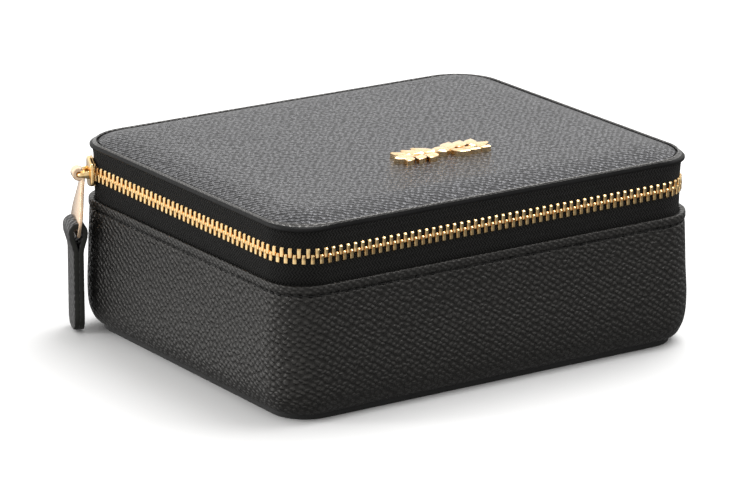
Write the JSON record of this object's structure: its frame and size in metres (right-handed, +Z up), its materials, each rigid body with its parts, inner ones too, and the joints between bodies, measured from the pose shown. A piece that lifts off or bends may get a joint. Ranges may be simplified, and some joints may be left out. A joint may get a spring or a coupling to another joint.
{
  "type": "jewellery case",
  "caption": "Rectangular zip-round leather jewellery case with a hinged padded lid, metal zip with a leather pull, ring rolls and divided tray inside.",
  "frame": {"origin": "centre of the base, on the surface the case stands on", "axes": "+X to the right along the front, -Y is the front, +Z up"},
  "size_m": [0.1595, 0.1258, 0.0644],
  "materials": {
    "case_leather": "crossgrain, satin",
    "trim_leather": "fine grain, satin",
    "base_leather": "matt",
    "tab_leather": "crossgrain with painted edges",
    "zip_tape": "herringbone woven",
    "zip_metal": "polished",
    "pull_metal": "polished",
    "emblem_metal": "polished",
    "lining": "brushed microsuede",
    "foam": "soft foam",
    "board": "plain grey board"
  },
  "bodies": {
    "case": {"base_leather": "base_leather", "base_board": "board", "wall_leather": "case_leather", "wall_foam": "foam", "wall_board": "board", "top_edge_binding": "trim_leather", "body_lining": "lining", "zip_tape_lower": "zip_tape", "zip_teeth_lower": "zip_metal", "zip_top_stop_lower": "zip_metal", "zip_bottom_stop": "zip_metal", "hinge_leather": "trim_leather", "hinge_lining": "lining", "ring_block": "lining", "divider_long": "lining", "divider_cross": "lining", "divider_short": "lining", "ring_roll_1": "lining", "ring_roll_2": "lining", "ring_roll_3": "lining", "ring_roll_4": "lining"},
    "lid": {"lid_welt": "trim_leather", "lid_leather": "case_leather", "lid_foam": "foam", "lid_board": "board", "lid_lining_panel": "lining", "lid_pocket": "lining", "emblem": "emblem_metal", "emblem_washers": "emblem_metal", "zip_tape_upper": "zip_tape", "zip_teeth_upper": "zip_metal", "zip_top_stop_upper": "zip_metal"},
    "slider": {"slider_body": "zip_metal", "slider_bridge": "zip_metal"},
    "pull": {"pull_plate": "pull_metal"},
    "tab": {"pull_leather": "tab_leather"}
  },
  "joints": [
    {"name": "lid_hinge", "type": "hinge", "parent": "case", "child": "lid", "pos_m": [0, 0.06135, 0.0504], "axis": [-1, 0, 0], "range_deg": [0, 105], "deforming": ["hinge_leather", "hinge_lining", "zip_tape_upper", "zip_teeth_upper", "zip_top_stop_upper"]},
    {"name": "slider_run", "type": "hinge", "parent": "case", "child": "slider", "pos_m": [-0.06025, 0.04735, 0.0504], "axis": [0, 0, 1], "range_deg": [0, 20], "deforming": ["zip_teeth_lower", "zip_teeth_upper", "zip_tape_lower", "zip_tape_upper"]},
    {"name": "pull_lift", "type": "hinge", "parent": "slider", "child": "pull", "pos_m": [-0.07787, 0.05376, 0.0504], "axis": [0.342, 0.9397, 0], "range_deg": [0, 165]},
    {"name": "tab_flex", "type": "hinge", "parent": "pull", "child": "tab", "pos_m": [-0.07894, 0.05415, 0.03247], "axis": [0.342, 0.9397, 0], "range_deg": [0, 100]}
  ]
}
